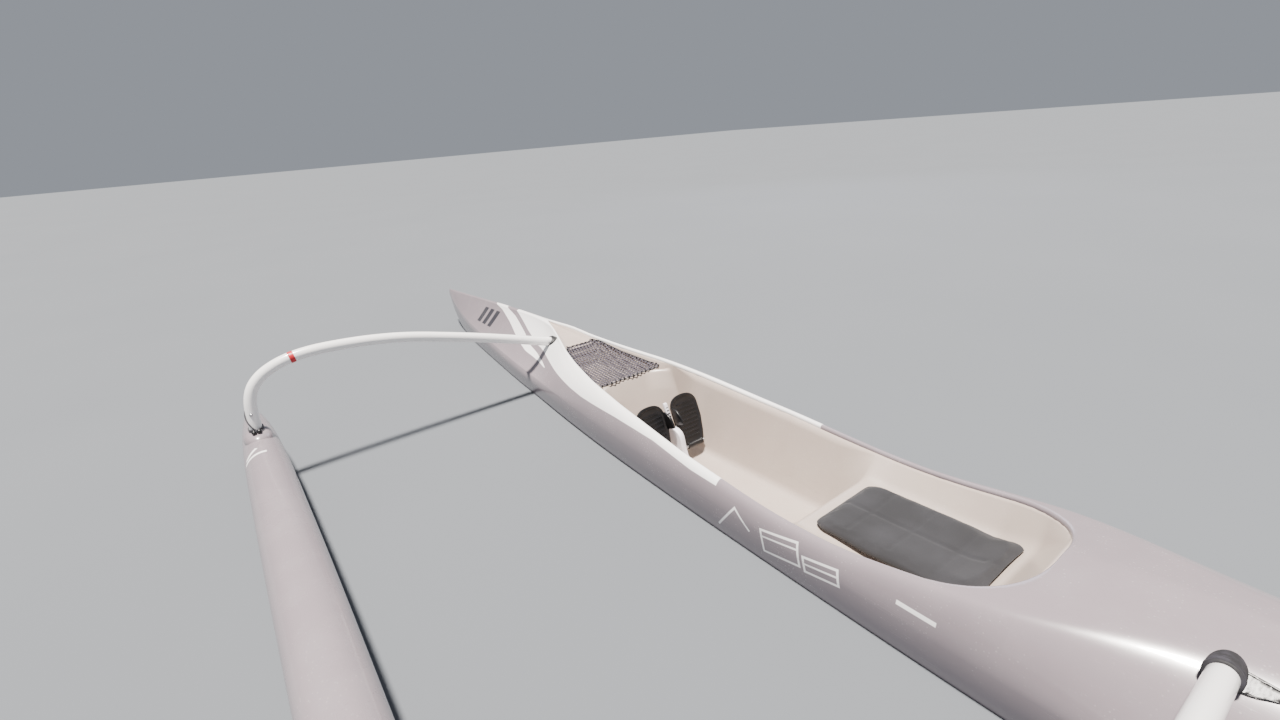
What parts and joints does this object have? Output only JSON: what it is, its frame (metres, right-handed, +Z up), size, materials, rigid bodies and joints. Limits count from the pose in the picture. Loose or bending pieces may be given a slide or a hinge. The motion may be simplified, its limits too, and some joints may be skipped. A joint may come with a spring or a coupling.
{
  "type": "one-person outrigger canoe",
  "caption": "Slim decked outrigger canoe with an open cockpit, a float carried to port on arched crossbeams, foot pedals and a rudder under the stern.",
  "frame": {"origin": "on the hull's centreline at the waterline, midway between bow and stern", "axes": "+X to the bow, +Y to port where the ama lies, +Z up"},
  "size_m": [6.02, 1.2603, 0.6137],
  "materials": {
    "hull_gelcoat": "glossy light grey gelcoat with white bands",
    "cockpit_liner": "ivory gelcoat, half gloss",
    "ama_gelcoat": "glossy light grey gelcoat",
    "iako_tube": "white lacquer over composite tube",
    "anodised_aluminium": "satin anodised",
    "white_plastic": "moulded, matt",
    "black_plastic": "moulded, fine grain",
    "black_rubber": "matt rubber",
    "foam": "closed-cell foam, brushed",
    "net": "knitted polyester mesh",
    "cord": "braided cord"
  },
  "bodies": {
    "root": {"hull_shell": "hull_gelcoat", "foredeck": "hull_gelcoat", "port_side_deck": "hull_gelcoat", "starboard_side_deck": "hull_gelcoat", "aft_deck": "hull_gelcoat", "cockpit_liner": "cockpit_liner", "stowage_net": "net", "seat_pad": "foam", "pedal_track": "anodised_aluminium", "pedal_base": "white_plastic", "pedal_axle": "anodised_aluminium", "footwell_drain": "black_plastic", "ama_lower_shell": "ama_gelcoat", "ama_upper_shell": "ama_gelcoat", "front_iako": "iako_tube", "front_iako_collar": "black_rubber", "front_ama_saddle": "ama_gelcoat", "front_ama_lashing": "cord", "front_ama_knob_port": "black_plastic", "front_ama_knob_starboard": "black_plastic", "rear_iako": "iako_tube", "rear_iako_collar": "black_rubber", "rear_ama_saddle": "ama_gelcoat", "rear_ama_lashing": "cord", "rear_ama_knob_port": "black_plastic", "rear_ama_knob_starboard": "black_plastic", "rudder_access_cap": "black_plastic", "stern_vent_plug": "black_plastic", "ama_vent_plug": "black_plastic"},
    "rudder": {"rudder_blade": "hull_gelcoat", "rudder_post": "anodised_aluminium"},
    "pedal_port": {"pedal_port": "black_plastic"},
    "pedal_starboard": {"pedal_starboard": "black_plastic"}
  },
  "joints": [
    {"name": "rudder_turn", "type": "hinge", "parent": "root", "child": "rudder", "pos_m": [-2.2, 0, 0], "axis": [0, 0, 1], "range_deg": [-35, 35]},
    {"name": "pedal_port_tilt", "type": "hinge", "parent": "root", "child": "pedal_port", "pos_m": [1.158, 0.064, -0.028], "axis": [0, 1, 0], "range_deg": [-18, 18]},
    {"name": "pedal_starboard_tilt", "type": "hinge", "parent": "root", "child": "pedal_starboard", "pos_m": [1.158, -0.064, -0.028], "axis": [0, 1, 0], "range_deg": [-18, 18]}
  ],
  "couplings": [
    {"joint": "pedal_port_tilt", "follows": "rudder_turn", "ratio": -0.5},
    {"joint": "pedal_starboard_tilt", "follows": "rudder_turn", "ratio": 0.5}
  ]
}
